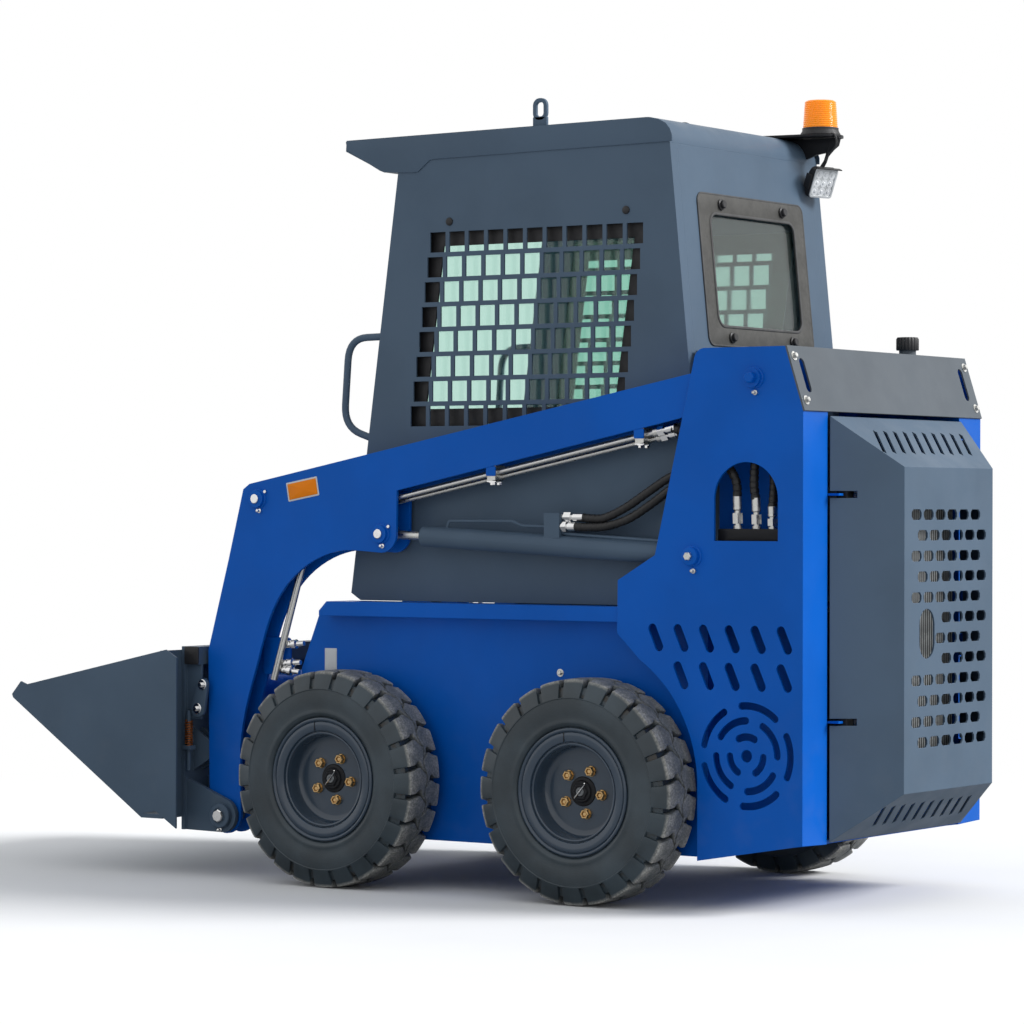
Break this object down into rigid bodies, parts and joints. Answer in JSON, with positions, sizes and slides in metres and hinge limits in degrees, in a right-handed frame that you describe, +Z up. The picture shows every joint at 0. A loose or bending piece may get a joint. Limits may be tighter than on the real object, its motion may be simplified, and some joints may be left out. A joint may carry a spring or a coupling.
{
  "type": "skid steer loader",
  "caption": "Small wheeled skid steer loader with closed cab, lift arms, cylinders, quick-attach bucket, four lugged tyres and a perforated hinged rear guard.",
  "frame": {"origin": "on the ground under the centre of the overall box, on the plane of symmetry of the machine", "axes": "+Z up, +Y towards the engine end (rear), +X towards the machine's own left side"},
  "size_m": [1.216, 2.711, 2.159],
  "materials": {
    "blue_paint": "semi-gloss blue enamel",
    "grey_paint": "semi-gloss slate grey enamel",
    "panel_grey": "matt light grey powder coat",
    "rubber": "worn black rubber",
    "rim_grey": "gloss slate grey enamel",
    "steel": "zinc plated steel",
    "black_steel": "satin black",
    "green_glass": "green tinted safety glass",
    "smoke_glass": "smoked safety glass in a rubber gasket",
    "amber": "amber lens",
    "black_plastic": "moulded black plastic",
    "seat_cover": "black vinyl",
    "engine_iron": "painted cast iron",
    "radiator_fins": "blackened aluminium fins"
  },
  "bodies": {
    "chassis": {"main_frame": "blue_paint", "fenders": "blue_paint", "tower_left": "blue_paint", "tower_right": "blue_paint", "axle_tubes": "blue_paint", "rear_top_panel": "panel_grey", "hood": "grey_paint", "engine_block": "engine_iron", "radiator": "radiator_fins", "cab_side_left": "grey_paint", "cab_side_right": "grey_paint", "cab_roof": "grey_paint", "cab_rear_wall": "grey_paint", "cab_front_frame": "grey_paint", "cab_floor": "black_steel", "side_windows": "green_glass", "rear_window": "smoke_glass", "seat_cushion": "seat_cover", "seat_back": "seat_cover", "control_levers": "black_steel", "grab_handles": "grey_paint", "lifting_eyes": "grey_paint", "beacon_bracket": "black_steel", "beacon": "amber", "work_light": "black_plastic", "filler_cap": "black_plastic"},
    "boom": {"arm_left": "blue_paint", "arm_right": "blue_paint", "boom_cross_tube": "blue_paint", "boom_tubes": "steel"},
    "bucket_unit": {"coupler": "grey_paint", "bucket": "grey_paint", "latches": "steel"},
    "guard_door": {"rear_guard": "grey_paint"},
    "lift_barrel_left_body": {"lift_barrel_left": "grey_paint"},
    "lift_rod_left_body": {"lift_rod_left": "steel"},
    "tilt_barrel_left_body": {"tilt_barrel_left": "grey_paint"},
    "tilt_rod_left_body": {"tilt_rod_left": "steel"},
    "lift_barrel_right_body": {"lift_barrel_right": "grey_paint"},
    "lift_rod_right_body": {"lift_rod_right": "steel"},
    "tilt_barrel_right_body": {"tilt_barrel_right": "grey_paint"},
    "tilt_rod_right_body": {"tilt_rod_right": "steel"},
    "wheel_front_left": {"tyre_front_left": "rubber", "rim_front_left": "rim_grey"},
    "wheel_front_right": {"tyre_front_right": "rubber", "rim_front_right": "rim_grey"},
    "wheel_rear_left": {"tyre_rear_left": "rubber", "rim_rear_left": "rim_grey"},
    "wheel_rear_right": {"tyre_rear_right": "rubber", "rim_rear_right": "rim_grey"}
  },
  "joints": [
    {"name": "boom_lift", "type": "hinge", "parent": "chassis", "child": "boom", "pos_m": [0, 1.0535, 1.363], "axis": [-1, 0, 0], "range_deg": [0, 60]},
    {"name": "bucket_tilt", "type": "hinge", "parent": "boom", "child": "bucket_unit", "pos_m": [0, -0.6575, 0.17], "axis": [1, 0, 0], "range_deg": [0, 130]},
    {"name": "lift_barrel_left_swing", "type": "hinge", "parent": "chassis", "child": "lift_barrel_left_body", "pos_m": [0.443, 0.8715, 0.908], "axis": [-1, 0, 0], "range_deg": [0, 57.32]},
    {"name": "lift_rod_left_slide", "type": "slide", "parent": "lift_barrel_left_body", "child": "lift_rod_left_body", "axis": [0, -0.9986, 0.0521], "range_m": [0, 0.4858]},
    {"name": "tilt_barrel_left_swing", "type": "hinge", "parent": "boom", "child": "tilt_barrel_left_body", "pos_m": [0.443, -0.5475, 1.055], "axis": [1, 0, 0], "range_deg": [0, 3.36]},
    {"name": "tilt_rod_left_slide", "type": "slide", "parent": "tilt_barrel_left_body", "child": "tilt_rod_left_body", "axis": [0, -0.2356, -0.9719], "range_m": [0, 0.3445]},
    {"name": "lift_barrel_right_swing", "type": "hinge", "parent": "chassis", "child": "lift_barrel_right_body", "pos_m": [-0.443, 0.8715, 0.908], "axis": [-1, 0, 0], "range_deg": [0, 57.32]},
    {"name": "lift_rod_right_slide", "type": "slide", "parent": "lift_barrel_right_body", "child": "lift_rod_right_body", "axis": [0, -0.9986, 0.0521], "range_m": [0, 0.4858]},
    {"name": "tilt_barrel_right_swing", "type": "hinge", "parent": "boom", "child": "tilt_barrel_right_body", "pos_m": [-0.443, -0.5475, 1.055], "axis": [1, 0, 0], "range_deg": [0, 3.36]},
    {"name": "tilt_rod_right_slide", "type": "slide", "parent": "tilt_barrel_right_body", "child": "tilt_rod_right_body", "axis": [0, -0.2356, -0.9719], "range_m": [0, 0.3445]},
    {"name": "wheel_front_left_spin", "type": "hinge", "parent": "chassis", "child": "wheel_front_left", "pos_m": [0.53, -0.2305, 0.295], "axis": [1, 0, 0], "continuous": true},
    {"name": "wheel_front_right_spin", "type": "hinge", "parent": "chassis", "child": "wheel_front_right", "pos_m": [-0.53, -0.2305, 0.295], "axis": [1, 0, 0], "continuous": true},
    {"name": "wheel_rear_left_spin", "type": "hinge", "parent": "chassis", "child": "wheel_rear_left", "pos_m": [0.53, 0.5765, 0.295], "axis": [1, 0, 0], "continuous": true},
    {"name": "wheel_rear_right_spin", "type": "hinge", "parent": "chassis", "child": "wheel_rear_right", "pos_m": [-0.53, 0.5765, 0.295], "axis": [1, 0, 0], "continuous": true},
    {"name": "guard_hinge", "type": "hinge", "parent": "chassis", "child": "guard_door", "pos_m": [-0.362, 1.2125, 0.7], "axis": [0, 0, 1], "range_deg": [0, 100]}
  ],
  "couplings": [
    {"joint": "lift_barrel_left_swing", "follows": "boom_lift", "ratio": 0.93866},
    {"joint": "lift_rod_left_slide", "follows": "boom_lift", "m_per_rad": 0.46199},
    {"joint": "tilt_barrel_left_swing", "follows": "bucket_tilt", "ratio": 0.01813},
    {"joint": "tilt_rod_left_slide", "follows": "bucket_tilt", "m_per_rad": 0.15095},
    {"joint": "lift_barrel_right_swing", "follows": "boom_lift", "ratio": 0.93866},
    {"joint": "lift_rod_right_slide", "follows": "boom_lift", "m_per_rad": 0.46199},
    {"joint": "tilt_barrel_right_swing", "follows": "bucket_tilt", "ratio": 0.01813},
    {"joint": "tilt_rod_right_slide", "follows": "bucket_tilt", "m_per_rad": 0.15095}
  ]
}
